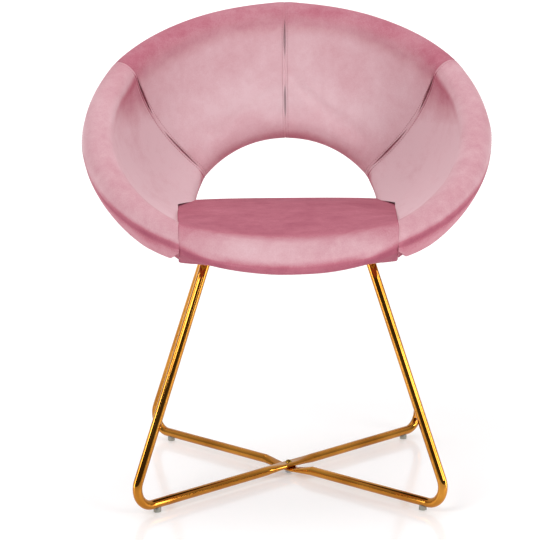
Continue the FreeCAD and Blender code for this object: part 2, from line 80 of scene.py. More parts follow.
PRESSURE, CLOTH_QUALITY, CLOTH_MASS, SIM_FRAMES = 4.0, 6, 0.3, 20
SMOOTH_LEVELS, SHARP_ANGLE = 2, math.radians(50.0)

# Number of points along each stretch of an outline, and the degrees between a cover's stations
FACE_STEPS, CAP_STEPS = 26, 5
BASE_STEPS, CURL_STEPS, TURN_STEPS, CROWN_STEPS = 22, 10, 6, 40
STATION_STEP = 2.5
SEAM_STEPS = (0.0, 0.3, 0.65, 1.1, 1.7, 2.6, 4.0)
SLANT, STRAIGHT = math.sqrt(0.5), 1e-18

# Room for the seat pad in the wings, and for the board in the pad
ROOM_REACH, REAR_CHAMFER, POCKET_REACH = 0.108, 0.6, 0.05
BOW_POINTS, CORNER_POINTS, CORNER_SHARE = 15, 9, 0.9

# Painted shade and sheen: how much each place darkens or pales the cloth, and the heights between which the back is
# painted paler
BACK_TONE, BACK_RIM, BACK_ARCH, BACK_PALE, BACK_OUTER, BACK_UNDER = 0.86, 0.54, 0.14, 0.10, 0.08, 0.4
WING_TONE, WING_RIM, WING_OUTER, WING_UNDER = 1.08, 0.44, 0.22, 0.85
SEAT_TONE, SEAT_FRONT, SEAT_UNDER = 0.16, 0.56, 0.55
PALE_HIGH, PALE_LOW = 0.70, 0.62

# Camera: at the photograph's height and distance, with a long lens
FOCAL, SENSOR, FAR_CLIP = 120.0, 36.0, 300.0
PITCH, YAW, ROLL_ANGLE = math.radians(10.13), math.radians(0.02), math.radians(-0.45)
CAMERA_AT = Vector((-0.029, -3.068, 0.912))


def camera_matrix():
    """Camera axes from pitch, yaw and roll, looking along +Y."""
    right = Vector((math.cos(YAW), math.sin(YAW), 0.0))
    ahead = Vector((-math.sin(YAW) * math.cos(PITCH), math.cos(YAW) * math.cos(PITCH), -math.sin(PITCH)))
    down = ahead.cross(right)
    turned_right = right * math.cos(ROLL_ANGLE) - down * math.sin(ROLL_ANGLE)
    turned_down = right * math.sin(ROLL_ANGLE) + down * math.cos(ROLL_ANGLE)
    axes = Matrix((turned_right, -turned_down, -ahead)).transposed()
    return Matrix.Translation(CAMERA_AT) @ axes.to_4x4()


lens = bpy.data.cameras.new("camera")
lens.lens, lens.sensor_width, lens.clip_end = FOCAL, SENSOR, FAR_CLIP
camera = bpy.data.objects.new("camera", lens)
camera.matrix_world = camera_matrix()
scene.collection.objects.link(camera)
scene.camera = camera
scene.view_settings.view_transform = "Standard"


# Materials
def colour(code):
    """Linear colour of an sRGB hex code."""
    parts = [int(code[i:i + 2], 16) / 255.0 for i in (0, 2, 4)]
    return tuple(p / 12.92 if p <= 0.04045 else ((p + 0.055) / 1.055) ** 2.4 for p in parts) + (1.0,)


def add(tree, kind, inputs=None, **settings):
    """Adds a node, sets it, and sets or links its inputs by name or number."""
    node = tree.nodes.new(kind)
    for name, value in settings.items():
        setattr(node, name, value)
    for name, value in (inputs or {}).items():
        if isinstance(value, bpy.types.NodeSocket):
            tree.links.new(value, node.inputs[name])
        else:
            node.inputs[name].default_value = value
    return node


def new_material(name):
    """An empty material, its nodes and the place on the object that its patterns read."""
    material = bpy.data.materials.new(name)
    material.use_nodes = True
    tree = material.node_tree
    tree.nodes.clear()
    return material, tree, add(tree, "ShaderNodeTexCoord").outputs["Object"]


def finish_material(tree, shader):
    add(tree, "ShaderNodeOutputMaterial", {"Surface": shader.outputs[0]})


def ramp(tree, value, stops):
    """Colour ramp over a value, from (place, hex colour) stops."""
    node = add(tree, "ShaderNodeValToRGB", {"Fac": value})
    elements = node.color_ramp.elements
    while len(elements) < len(stops):
        elements.new(0.5)
    for element, (place, code) in zip(elements, stops):
        element.position, element.color = place, colour(code)
    return node.outputs["Color"]


def velvet():
    """Polyester velvet, woven with a cut pile and brushed: soft colour patches where the pile leans, pale at
    glancing angles, no gloss. Its colour also follows painted sheen and painted shade stored on each cover's
    points, 0 dark to 1 pale. The pile is 0.1 mm thick, drawn 20 times coarser so that it shows."""
    material, tree, where = new_material("velvet_polyester_cut_pile")
    # Painted sheen and shade stored on the points, 0 dark to 1 pale
    sheen_shade = add(tree, "ShaderNodeAttribute", attribute_name="sheen_shade").outputs["Fac"]
    patches = add(tree, "ShaderNodeTexNoise",
                  {"Vector": where, "Scale": 13.0, "Detail": 6.0, "Roughness": 0.62, "Distortion": 0.4})
    brushed = add(tree, "ShaderNodeTexNoise", {"Vector": where, "Scale": 60.0, "Detail": 4.0, "Roughness": 0.7})
    pile = add(tree, "ShaderNodeTexNoise", {"Vector": where, "Scale": 480.0, "Detail": 2.0, "Roughness": 0.6})
    total = sheen_shade
    for pattern, share in ((patches, 0.55), (brushed, 0.26), (pile, 0.20)):
        centred = add(tree, "ShaderNodeMath", {0: pattern.outputs["Fac"], 1: share, 2: -share / 2.0},
                      operation="MULTIPLY_ADD")
        total = add(tree, "ShaderNodeMath", {0: total, 1: centred.outputs[0]}, operation="ADD").outputs[0]
    # Dark to pale cloth colours over the random patches plus the painted sheen and shade
    tone = ramp(tree, total, [(0.0, "A5566A"), (0.25, "BC6F80"), (0.5, "CC929D"), (0.75, "DAAEB6"),
                              (1.0, "E6C6CC")])
    bump = add(tree, "ShaderNodeBump", {"Height": pile.outputs["Fac"], "Strength": 0.25, "Distance": 0.0006})
    shader = add(tree, "ShaderNodeBsdfPrincipled",
                 {"Base Color": tone, "Roughness": 0.92, "Specular IOR Level": 0.12, "Sheen Weight": 0.06,
                  "Sheen Roughness": 0.45, "Sheen Tint": colour("F2C8CE"), "Normal": bump.outputs["Normal"]})
    finish_material(tree, shader)
    return material


def thread():
    """Spun polyester sewing thread, dyed to the cloth: a fine twist, a little darker than the pile. The twist is
    drawn 1 mm long so that it shows."""
    material, tree, where = new_material("thread_spun_polyester")
    twist = add(tree, "ShaderNodeTexNoise", {"Vector": where, "Scale": 900.0, "Detail": 2.0})
    tone = ramp(tree, twist.outputs["Fac"], [(0.3, "A8616F"), (0.7, "C98C97")])
    bump = add(tree, "ShaderNodeBump", {"Height": twist.outputs["Fac"], "Strength": 0.3, "Distance": 0.0003})
    shader = add(tree, "ShaderNodeBsdfPrincipled",
                 {"Base Color": tone, "Roughness": 0.7, "Sheen Weight": 0.1, "Normal": bump.outputs["Normal"]})
    finish_material(tree, shader)
    return material


def plated(name, bright, deep, roughness, wear):
    """Steel tube, polished and then plated gold: sharp reflections, faint polishing marks, drawn 1.4 mm long so
    that they show, and a slightly uneven tone where the plating is thicker."""
    material, tree, where = new_material(name)
    cloud = add(tree, "ShaderNodeTexNoise", {"Vector": where, "Scale": 9.0, "Detail": 3.0})
    lines = add(tree, "ShaderNodeTexNoise", {"Vector": where, "Scale": 700.0, "Detail": 2.0})
    tone = ramp(tree, cloud.outputs["Fac"], [(0.35, deep), (0.65, bright)])
    gloss = add(tree, "ShaderNodeMapRange",
                {"Value": lines.outputs["Fac"], "To Min": roughness - wear, "To Max": roughness + wear})
    bump = add(tree, "ShaderNodeBump", {"Height": lines.outputs["Fac"], "Strength": 0.04, "Distance": 0.0002})
    shader = add(tree, "ShaderNodeBsdfPrincipled",
                 {"Base Color": tone, "Metallic": 1.0, "Roughness": gloss.outputs["Result"],
                  "Normal": bump.outputs["Normal"]})
    finish_material(tree, shader)
    return material


def zinc():
    """Zinc plated steel: grey with crystal patches of 2.5 mm, half matt."""
    material, tree, where = new_material("steel_zinc_plated")
    crystals = add(tree, "ShaderNodeTexVoronoi", {"Vector": where, "Scale": 400.0})
    tone = ramp(tree, crystals.outputs["Distance"], [(0.0, "A9ACAE"), (1.0, "C6C9CA")])
    shader = add(tree, "ShaderNodeBsdfPrincipled", {"Base Color": tone, "Metallic": 1.0, "Roughness": 0.38})
    finish_material(tree, shader)
    return material


def powder_coat():
    """Black powder coat, baked: satin with the fine orange peel of the powder."""
    material, tree, where = new_material("steel_black_powder_coat")
    peel = add(tree, "ShaderNodeTexNoise", {"Vector": where, "Scale": 650.0, "Detail": 2.0})
    tone = ramp(tree, peel.outputs["Fac"], [(0.3, "101011"), (0.7, "1C1C1E")])
    bump = add(tree, "ShaderNodeBump", {"Height": peel.outputs["Fac"], "Strength": 0.3, "Distance": 0.0003})
    shader = add(tree, "ShaderNodeBsdfPrincipled",
                 {"Base Color": tone, "Roughness": 0.45, "Normal": bump.outputs["Normal"]})
    finish_material(tree, shader)
    return material


def birch_plywood():
    """Birch plywood, sanded: pale long grain in 1.4 mm layers that show on the edge."""
    material, tree, where = new_material("plywood_birch_sanded")
    place = add(tree, "ShaderNodeMapping", {"Vector": where, "Scale": (6.0, 90.0, 90.0)})
    grain = add(tree, "ShaderNodeTexNoise", {"Vector": place.outputs["Vector"], "Scale": 2.0, "Detail": 5.0})
    layers = add(tree, "ShaderNodeTexWave", {"Vector": where, "Scale": 112.0, "Distortion": 0.3},
                 bands_direction="Z")
    mixed = add(tree, "ShaderNodeMath", {0: grain.outputs["Fac"], 1: layers.outputs["Fac"]}, operation="MULTIPLY")
    tone = ramp(tree, mixed.outputs[0], [(0.0, "9C7A4E"), (0.6, "CDAE80")])
    shader = add(tree, "ShaderNodeBsdfPrincipled", {"Base Color": tone, "Roughness": 0.65})
    finish_material(tree, shader)
    return material


def dust_cloth():
    """Spunbonded polypropylene, black, embossed with small dots 2 mm apart."""
    material, tree, where = new_material("nonwoven_spunbonded_polypropylene")
    dots = add(tree, "ShaderNodeTexVoronoi", {"Vector": where, "Scale": 480.0, "Randomness": 0.15})
    fibres = add(tree, "ShaderNodeTexNoise", {"Vector": where, "Scale": 260.0, "Detail": 4.0})
    tone = ramp(tree, fibres.outputs["Fac"], [(0.3, "151515"), (0.7, "2B2B2C")])
    bump = add(tree, "ShaderNodeBump", {"Height": dots.outputs["Distance"], "Strength": 0.5, "Distance": 0.0004})
    shader = add(tree, "ShaderNodeBsdfPrincipled",
                 {"Base Color": tone, "Roughness": 0.85, "Normal": bump.outputs["Normal"]})
    finish_material(tree, shader)
    return material


def clear_glide():
    """Low density polyethylene, moulded clear: cloudy grey, soft gloss, light passes through."""
    material, tree, where = new_material("polyethylene_clear_moulded")
    haze = add(tree, "ShaderNodeTexNoise", {"Vector": where, "Scale": 220.0, "Detail": 3.0})
    tone = ramp(tree, haze.outputs["Fac"], [(0.3, "A4A49A"), (0.7, "C4C4B8")])
    shader = add(tree, "ShaderNodeBsdfPrincipled",
                 {"Base Color": tone, "Roughness": 0.28, "IOR": 1.51, "Transmission Weight": 0.45})
    finish_material(tree, shader)
    return material


def foam_block():
    """Moulded polyurethane foam: cream, matt, with 1 mm cells."""
    material, tree, where = new_material("foam_polyurethane_moulded")
    cells = add(tree, "ShaderNodeTexVoronoi", {"Vector": where, "Scale": 900.0})
    tone = ramp(tree, cells.outputs["Distance"], [(0.0, "CFC6A4"), (1.0, "E8E0C4")])
    shader = add(tree, "ShaderNodeBsdfPrincipled", {"Base Color": tone, "Roughness": 0.95})
    finish_material(tree, shader)
    return material


def studio_floor():
    """White lacquered studio floor: brighter further away, with a faint soft reflection."""
    material, tree, where = new_material("floor_white_lacquer")
    haze = add(tree, "ShaderNodeTexNoise", {"Vector": where, "Scale": 3.0, "Detail": 2.0})
    gloss = add(tree, "ShaderNodeMapRange", {"Value": haze.outputs["Fac"], "To Min": 0.10, "To Max": 0.16})
    away = add(tree, "ShaderNodeVectorMath", {0: where}, operation="LENGTH")
    glow = add(tree, "ShaderNodeMapRange", {"Value": away.outputs["Value"], "From Min": 0.5, "From Max": 3.0,
                                            "To Min": 0.27, "To Max": 0.62})
    shader = add(tree, "ShaderNodeBsdfPrincipled",
                 {"Base Color": colour("F4F4F4"), "Roughness": gloss.outputs["Result"], "Specular IOR Level": 0.25,
                  "Emission Color": colour("FFFFFF"), "Emission Strength": glow.outputs["Result"]})
    finish_material(tree, shader)
    return material


VELVET, THREAD = velvet(), thread()
FINISHES = {
    "velvet": VELVET, "foam": foam_block(), "plywood": birch_plywood(), "nonwoven": dust_cloth(),
    "gold_steel": plated("steel_polished_gold_plated", "CC8C38", "A96A22", 0.08, 0.015),
    "dark_gold_steel": plated("steel_dark_gold_plated", "B08A3A", "8C6A26", 0.16, 0.04),
    "frame_steel": powder_coat(), "zinc_steel": zinc(), "glide_plastic": clear_glide(),
}
for part in frame["record"]["subparts"]:
    mesh = frame["nodes"][part["node"]].data
    mesh.materials.clear()
    mesh.materials.append(FINISHES[part["material_slot"]])


# Shapes of the padding
def unit(vector):
    return vector / np.linalg.norm(vector)


def smooth(value, low, high):
    share = np.clip((value - low) / (high - low), 0.0, 1.0)
    return share * share * (3.0 - 2.0 * share)


def pad_half(y):
    return PAD_FRONT + (y - PAD_FRONT_Y) / (PAD_REAR_Y - PAD_FRONT_Y) * (PAD_REAR - PAD_FRONT)


def rim_point(angle):
    turn = math.radians(angle)
    along = RIM_RADIUS * math.cos(turn)
    return np.array((RIM_RADIUS * math.sin(turn), along * math.cos(RIM_TILT),
                     RIM_HEIGHT + along * math.sin(RIM_TILT)))


def arch_point(angle):
    turn = math.radians(angle)
    drop = ARCH_RADIUS * (1.0 - math.cos(turn))
    return np.array((ARCH_RADIUS * math.sin(turn), ARCH_TOP_Y - drop * math.sin(ARCH_LEAN),
                     ARCH_TOP_Z - drop * math.cos(ARCH_LEAN)))


def wing_point(angle):
    share = (abs(angle) - WING_TURN_START) / WING_TURN_SPAN
    y = WING_REAR_Y + share * (WING_FRONT_Y - WING_REAR_Y)
    z = WING_INNER_Z + max(0.0, share) ** 2 * (WING_FRONT_Z - WING_INNER_Z)
    return np.array((math.copysign(pad_half(y) - WING_BITE, angle), y, z))


def inner_point(angle):
    share = float(smooth(abs(angle), BLEND_START, BLEND_END))
    return arch_point(angle * ARCH_SPREAD) * (1.0 - share) + wing_point(angle) * share


def station(angle):
    """Rim and inner points of the band, its outward direction and the middle of its dished panel."""
    rim, inner = rim_point(angle), inner_point(angle)
    chord = rim - inner
    ahead = rim_point(angle + 1.0) + inner_point(angle + 1.0)
    behind = rim_point(angle - 1.0) + inner_point(angle - 1.0)
    outward = unit(np.cross(chord, ahead - behind))
    return rim, inner, outward, (rim + inner) / 2.0 + outward * DISH_RATIO * np.linalg.norm(chord)


def through(start, middle, end, count):
    """Points along the arc through three points, without the last."""
    a, b = middle - start, end - start
    cross = np.cross(a, b)
    if cross @ cross < STRAIGHT:
        return start + np.outer(np.arange(count) / count, b)
    centre = start + (np.cross(cross, a) * (b @ b) + np.cross(b, cross) * (a @ a)) / (2.0 * (cross @ cross))
    u = start - centre
    v = np.cross(unit(cross), u)
    sweep = math.atan2((end - centre) @ v, (end - centre) @ u) % (2.0 * math.pi)
    turns = np.arange(count) / count * sweep
    return centre + np.outer(np.cos(turns), u) + np.outer(np.sin(turns), v)


def band_outline(angle, inset):
    """Closed outline of the padded band at one station: front face, rim roll, back face and inner edge."""
    rim, inner, outward, middle = station(angle)
    chord = rim - inner
    length = np.linalg.norm(chord)
    sag = DISH_RATIO * length
    mid_radius = (length ** 2 / 4.0 + sag ** 2) / (2.0 * sag)
    centre = middle - outward * mid_radius
    rim_out, inner_out = (rim - centre) / mid_radius, (inner - centre) / mid_radius
    side = unit(np.cross(chord, outward))
    rim_along, inner_along = -np.cross(rim_out, side), np.cross(inner_out, side)
    if rim_along @ chord < 0.0:
        rim_along, inner_along = -rim_along, -inner_along
    roll, edge, half = ROLL - inset, EDGE - inset, PANEL_HALF - inset
    back_half = half + SHELL_BELLY * float(smooth(abs(angle), BELLY_START, BELLY_END))
    rim_tip, edge_tip = rim + rim_along * roll, inner + inner_along * edge
    rim_front, rim_back = rim - rim_out * roll, rim + rim_out * roll
    edge_front, edge_back = inner - inner_out * edge, inner + inner_out * edge
    return np.vstack([
        through(edge_front, middle - outward * half, rim_front, FACE_STEPS),
        through(rim_front, rim + (rim_along - rim_out) * SLANT * roll, rim_tip, CAP_STEPS),
        through(rim_tip, rim + (rim_along + rim_out) * SLANT * roll, rim_back, CAP_STEPS),
        through(rim_back, middle + outward * back_half, edge_back, FACE_STEPS),
        through(edge_back, inner + (inner_along + inner_out) * SLANT * edge, edge_tip, CAP_STEPS),
        through(edge_tip, inner + (inner_along - inner_out) * SLANT * edge, edge_front, CAP_STEPS),
    ])


def pad_outline(share, inset):
    """Closed outline of the seat pad in the upright plane at a share of its half width."""
    half = PAD_FRONT * abs(share)
    front = math.sqrt(RIM_RADIUS ** 2 - half ** 2)
    nose_y, nose_z = -front * math.cos(RIM_TILT), RIM_HEIGHT - front * math.sin(RIM_TILT)
    nose, rear = ROLL - inset, PAD_REAR_ROUND - inset
    drop = PAD_EDGE_DROP * share ** 4
    rear_y = PAD_REAR_Y - PAD_REAR_ROUND
    top, bottom = PAD_REAR_TOP - inset - drop, PAD_BOTTOM + inset
    middle, rise = (top + bottom) / 2.0, (top - bottom) / 2.0
    base_front = nose_y + PAD_BASE_FRONT + PAD_BASE_CURL * share ** 2

    def at(y, z):
        return np.array(((pad_half(y) - inset) * share, y, z))

    back_bottom, base_edge = at(rear_y, bottom), at(base_front, bottom)
    nose_bottom, nose_top = at(nose_y, nose_z - nose), at(nose_y, nose_z + nose)
    nose_front = at(nose_y - nose, nose_z)
    back_top, back_tip = at(rear_y, top), at(rear_y + rear, middle)
    return np.vstack([
        through(back_bottom, (back_bottom + base_edge) / 2.0, base_edge, BASE_STEPS),
        through(base_edge, (base_edge + nose_bottom) / 2.0, nose_bottom, CURL_STEPS),
        through(nose_bottom, at(nose_y - nose * SLANT, nose_z - nose * SLANT), nose_front, TURN_STEPS),
        through(nose_front, at(nose_y - nose * SLANT, nose_z + nose * SLANT), nose_top, TURN_STEPS),
        through(nose_top, at((nose_y + rear_y) / 2.0, PAD_CROWN - inset - drop), back_top, CROWN_STEPS),
        through(back_top, at(rear_y + rear * SLANT, middle + rise * SLANT), back_tip, TURN_STEPS),
        through(back_tip, at(rear_y + rear * SLANT, middle - rise * SLANT), back_bottom, TURN_STEPS),
    ])


def face_outwards(mesh):
    """Turns all faces of a closed mesh outwards."""
    shape = bmesh.new()
    shape.from_mesh(mesh)
    bmesh.ops.recalc_face_normals(shape, faces=shape.faces)
    shape.to_mesh(mesh)
    shape.free()


def new_piece(name, mesh):
    piece = bpy.data.objects.new(name, mesh)
    scene.collection.objects.link(piece)
    return piece


def sewn_shell(name, outlines, marks, crisp=()):
    """Closed mesh through outlines of equal point count, with a number on each point under each mark's name.
    The outlines numbered in crisp stay sharp edges when the mesh is subdivided."""
    count = len(outlines[0])
    points = np.vstack(outlines)
    faces = []
    for i in range(len(outlines) - 1):
        for j in range(count):
            k = (j + 1) % count
            faces.append((i * count + j, (i + 1) * count + j, (i + 1) * count + k, i * count + k))
    faces.append(tuple(range(count)))
    faces.append(tuple(reversed(range((len(outlines) - 1) * count, len(outlines) * count))))
    mesh = bpy.data.meshes.new(name)
    mesh.from_pydata(points.tolist(), [], faces)
    for mark, values in marks.items():
        mesh.attributes.new(mark, "FLOAT", "POINT").data.foreach_set("value", np.asarray(values, np.float32))
    face_outwards(mesh)
    if crisp:
        ends = [[corner // count for corner in mesh_edge.vertices] for mesh_edge in mesh.edges]
        crease = mesh.attributes.new("crease_edge", "FLOAT", "EDGE")
        crease.data.foreach_set("value", [1.0 if row == other and row in crisp else 0.0 for row, other in ends])
    return new_piece(name, mesh)


def vectors_of(mesh, kind):
    flat = np.zeros(len(mesh.vertices) * 3, np.float32)
    mesh.vertices.foreach_get(kind, flat)
    return flat.reshape(-1, 3).astype(float)


def points_of(mesh):
    return vectors_of(mesh, "co")


def normals_of(mesh):
    return vectors_of(mesh, "normal")


def values_of(mesh, mark):
    flat = np.zeros(len(mesh.vertices), np.float32)
    mesh.attributes[mark].data.foreach_get("value", flat)
    return flat.astype(float)


def place(mesh, points):
    mesh.vertices.foreach_set("co", points.astype(np.float32).ravel())
    mesh.update()


def bake(piece):
    """Turns the piece's evaluated shape into its plain mesh and takes its modifiers off."""
    depsgraph = bpy.context.evaluated_depsgraph_get()
    mesh = bpy.data.meshes.new_from_object(piece.evaluated_get(depsgraph))
    piece.modifiers.clear()
    piece.data = mesh


def swell(piece, hold, ease, cap):
    """Fills the cover with air pressure as cloth, held where hold is 1. Each point moves by cap at most, and less
    where ease is under 1."""
    start = points_of(piece.data)
    group = piece.vertex_groups.new(name="held")
    for index in np.where(hold > 0.0)[0]:
        group.add([int(index)], float(hold[index]), "REPLACE")
    cloth = piece.modifiers.new("cloth", "CLOTH")
    cloth.settings.quality = CLOTH_QUALITY
    cloth.settings.mass = CLOTH_MASS
    cloth.settings.use_pressure = True
    cloth.settings.uniform_pressure_force = PRESSURE
    cloth.settings.vertex_group_mass = "held"
    cloth.settings.effector_weights.gravity = 0.0
    cloth.collision_settings.use_collision = False
    cloth.point_cache.frame_start, cloth.point_cache.frame_end = 1, SIM_FRAMES
    for step in range(1, SIM_FRAMES + 1):
        scene.frame_set(step)
    depsgraph = bpy.context.evaluated_depsgraph_get()
    result = bpy.data.meshes.new_from_object(piece.evaluated_get(depsgraph))
    moved = points_of(result) - start
    bpy.data.meshes.remove(result)
    piece.modifiers.clear()
    piece.vertex_groups.clear()
    scene.frame_set(1)
    far = np.linalg.norm(moved, axis=1)
    share = np.where(far > STILL, cap * np.tanh(far / cap) / np.maximum(far, STILL), 0.0)
    place(piece.data, start + moved * (share * ease)[:, None])


def refine(piece, levels):
    """Subdivides the cover smoothly."""
    modifier = piece.modifiers.new("smooth", "SUBSURF")
    modifier.levels = modifier.render_levels = levels
    bake(piece)


def seam_plane(angle):
    """A point and the direction across the seam at an angle round the rim."""
    rim, inner, outward, _ = station(angle)
    return rim, unit(np.cross(rim - inner, outward))


def sewn_depth(distance):
    """How far the cloth is drawn in at a distance from a seam, with the dip under its topstitching."""
    valley = SEAM_DEPTH * np.exp(-(distance / SEAM_WIDTH) ** 2)
    dip = STITCH_DIP * np.exp(-((distance - STITCH_OFFSET) / STITCH_DIP_WIDTH) ** 2)
    return valley + dip


def band_angles(first, last, step, seam_last):
    """Stations of a cover, closer together towards its seams."""
    low, high = first + SEAM_STEPS[-1], last - (SEAM_STEPS[-1] if seam_last else 0.0)
    count = int(round((high - low) / step))
    angles = [first + d for d in SEAM_STEPS[:-1]] + list(np.linspace(low, high, count + 1))
    return angles + [last - d for d in reversed(SEAM_STEPS[:-1])] if seam_last else angles


def outline_marks(outline):
    """Distance along the outline from the rim's tip, with its sign: plus on the outer side."""
    steps = np.linalg.norm(np.roll(outline, -1, axis=0) - outline, axis=1)
    along = np.concatenate([[0.0], np.cumsum(steps)[:-1]])
    whole = steps.sum()
    tip = along[FACE_STEPS + CAP_STEPS]
    return (along - tip + whole / 2.0) % whole - whole / 2.0


def band_cover(name, first, last, mirror):
    """One cover of the band, filled, sewn and still whole where the seat pad goes."""
    seam_last = last == SEAM_ANGLE
    angles = band_angles(first, last, STATION_STEP, seam_last)
    outlines = [band_outline(angle, START_INSET) for angle in angles]
    around = np.concatenate([outline_marks(outline) for outline in outlines])
    ends = np.repeat([1.0 if a == first or (a == last and seam_last) else 0.0 for a in angles], len(outlines[0]))
    if mirror:
        outlines = [outline * (-1.0, 1.0, 1.0) for outline in outlines]
    outer = (smooth(around, SHELL_SEAM - SHELL_FADE, SHELL_SEAM + SHELL_FADE)
             * smooth(-around, -OUTER_FADE, -OUTER_END))
    marks = {"shell": np.minimum(np.abs(around - SHELL_SEAM), MARK_REACH), "roll": np.abs(around), "outer": outer}
    piece = sewn_shell(name, outlines, marks, crisp=(0, len(outlines) - 1))
    flip = np.array((-1.0 if mirror else 1.0, 1.0, 1.0))
    seams = [seam_plane(angle) for angle in (first, last) if angle != WING_LAST]
    cage = points_of(piece.data) * flip
    ease = np.prod([smooth(np.abs((cage - origin) @ across), 0.0, SEAM_EASE)
                    for origin, across in seams], axis=0)
    swell(piece, ends, ease, SWELL_CAP)
    refine(piece, SMOOTH_LEVELS)
    mesh = piece.data
    points, normals = points_of(mesh), normals_of(mesh)
    drawn = normals * (sewn_depth(values_of(mesh, "shell")) * SHALLOW_SEAM)[:, None]
    for origin, across in seams:
        distance = np.abs((points * flip - origin) @ across)
        across = across * flip
        near = np.exp(-(distance / (2.0 * SEAM_WIDTH)) ** 2)
        inward = normals - ((normals @ across) * near)[:, None] * across
        drawn = drawn + inward * sewn_depth(distance)[:, None]
    place(mesh, points - drawn)
    return piece


def seat_room_mesh():
    """Block that the seat pad takes out of the wings."""
    far, low, high = PAD_FRONT_Y - ROOM_REACH, PAD_BOTTOM - ROOM_REACH, PAD_REAR_TOP + ROOM_REACH
    rear = PAD_REAR_Y + GAP
    profile = [(far, low), (rear, low), (rear, PAD_BOTTOM + PAD_REAR_ROUND),
               (rear - PAD_REAR_ROUND * REAR_CHAMFER, PAD_REAR_TOP - PAD_EDGE_DROP), (0.0, PAD_CROWN), (far, high)]
    left, right = ([(side * (pad_half(y) + PAD_PLUMP - PAD_BITE), y, z) for y, z in profile] for side in (-1, 1))
    return block("seat_room", left, right)


def block(name, first_ring, last_ring):
    """Closed block between two rings of as many points each."""
    count = len(first_ring)
    faces = [tuple(range(count)), tuple(reversed(range(count, 2 * count)))]
    faces += [(i, i + count, (i + 1) % count + count, (i + 1) % count) for i in range(count)]
    mesh = bpy.data.meshes.new(name)
    mesh.from_pydata(first_ring + last_ring, [], faces)
    face_outwards(mesh)
    return new_piece(name, mesh)


def cut(piece, tool):
    """Takes the tool's space out of the piece."""
    modifier = piece.modifiers.new("cut", "BOOLEAN")
    modifier.operation, modifier.solver, modifier.object = "DIFFERENCE", "MANIFOLD", tool
    bake(piece)


def bowed(corner_radius, inset, front_inset, low, high):
    """Upright block over the plan of the seat board, with round corners and a bowed front."""
    rear, front = PAD_REAR_Y - inset, PAD_FRONT_Y + front_inset
    bow = RIM_RADIUS * (1.0 - math.cos(math.asin(PAD_FRONT / RIM_RADIUS))) * math.cos(RIM_TILT)
    rear_half, front_half = pad_half(rear) - inset, pad_half(front) - inset
    plan = [(rear_half, rear), (-rear_half, rear), (-front_half, front)]
    plan += [(x, front - bow * (1.0 - (x / front_half) ** 2))
             for x in np.linspace(-front_half, front_half, BOW_POINTS)[1:-1]]
    plan += [(front_half, front)]
    rounded = []
    for i, here in enumerate(plan):
        here, before, after = Vector(here), Vector(plan[i - 1]), Vector(plan[(i + 1) % len(plan)])
        back, ahead = (before - here), (after - here)
        if i in (0, 1, 2, len(plan) - 1):
            reach_back = min(corner_radius, back.length * CORNER_SHARE)
            reach_ahead = min(corner_radius, ahead.length * CORNER_SHARE)
            start, end = here + back.normalized() * reach_back, here + ahead.normalized() * reach_ahead
            rounded += [(start * (1 - t) ** 2 + here * (2 * t * (1 - t)) + end * t ** 2)
                        for t in np.linspace(0, 1, CORNER_POINTS)]
        else:
            rounded.append(here)
    bottom, top = ([(p.x, p.y, z) for p in rounded] for z in (low, high))
    return block("board_room", bottom, top)


def paint_sheen_shade(piece, tone):
    """Stores painted sheen and shade, 0 dark to 1 pale, on each point: tone gives it from place, normal and marks.
    """
    mesh = piece.data
    sheen_shade = np.clip(tone(points_of(mesh), normals_of(mesh), mesh), 0.0, 1.0)
    mesh.attributes.new("sheen_shade", "FLOAT", "POINT").data.foreach_set("value", sheen_shade.astype(np.float32))


def carry_marks(piece, before):
    """After a cut, gives each point the painted sheen and shade of the nearest point before the cut, and drops
    working marks.
    """
    tree = KDTree(len(before[0]))
    for index, point in enumerate(before[0]):
        tree.insert(point, index)
    tree.balance()
    mesh = piece.data
    for mark in [a.name for a in mesh.attributes if a.name in ("sheen_shade", "shell", "roll", "outer")]:
        mesh.attributes.remove(mesh.attributes[mark])
    sheen_shade = np.array([before[1][tree.find(point)[1]] for point in points_of(mesh)], np.float32)
    mesh.attributes.new("sheen_shade", "FLOAT", "POINT").data.foreach_set("value", sheen_shade)


def settle(piece, slot, fill, *nodes):
    """Gives a finished padded piece its cloth, smooth shading and body, and hides the CAD nodes that it stands in
    for.
    """
    mesh = piece.data
    mesh.materials.clear()
    mesh.materials.append(VELVET)
    mesh.shade_smooth()
    mesh.set_sharp_from_angle(angle=SHARP_ANGLE)
    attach(piece, "root")
    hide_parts(*nodes)


# Painted sheen and shade on the back, the wings and the seat
def back_tone(points, normals, mesh):
    roll, outer = values_of(mesh, "roll"), values_of(mesh, "outer")
    # Painted shade: darker on the rim roll and towards the arch, paler lower down and on the outer face, darker
    # where the cloth faces down
    rim_shade = 1.0 - smooth(roll, 0.015, 0.075)
    arch_shade = smooth(roll, 0.17, 0.24)
    pale = smooth(-points[:, 2], -PALE_HIGH, -PALE_LOW)
    under = smooth(-normals[:, 2], 0.1, 0.9)
    return (BACK_TONE - BACK_RIM * rim_shade - BACK_ARCH * arch_shade + BACK_PALE * pale + BACK_OUTER * outer
            - BACK_UNDER * under)


def wing_tone(points, normals, mesh):
    roll, outer = values_of(mesh, "roll"), values_of(mesh, "outer")
    # Painted shade: darker on the rim roll and where the cloth faces down, paler on the outer face
    rim_shade = 1.0 - smooth(roll, 0.012, 0.060)
    under = smooth(-normals[:, 2], -0.25, 0.30)
    return WING_TONE - WING_RIM * rim_shade + WING_OUTER * outer - WING_UNDER * under


def seat_tone(points, normals, mesh):
    # Painted light and shade: dark top, paler front roll where it faces the light, darker where the cloth faces
    # down
    front = smooth(-points[:, 1], 0.215, 0.285)
    under = smooth(-normals[:, 2], -0.1, 0.6)
    return SEAT_TONE + SEAT_FRONT * front - SEAT_UNDER * under


